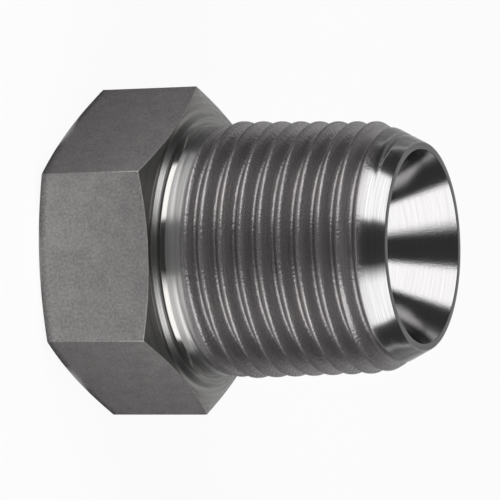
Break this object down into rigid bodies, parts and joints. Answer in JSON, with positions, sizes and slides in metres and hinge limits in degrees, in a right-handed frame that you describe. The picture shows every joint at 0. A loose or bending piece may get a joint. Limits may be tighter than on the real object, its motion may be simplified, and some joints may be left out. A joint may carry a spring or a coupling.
{
  "type": "pipe bushing",
  "caption": "Hexagon-headed reducing bushing with a tapered male pipe thread, a cone seat in its nose and a tapped hole in its head.",
  "frame": {"origin": "centre of the hexagon's flat end face, on the thread's axis", "axes": "+Z along the thread's axis from the hexagon's end face to the nose; a flat of the hexagon faces -Y"},
  "size_m": [0.022, 0.019, 0.0233],
  "materials": {
    "steel": "turned bright on the thread, neck and nose, dull drawn skin on the hexagon"
  },
  "bodies": {
    "root": {"bushing": "steel"}
  },
  "joints": []
}
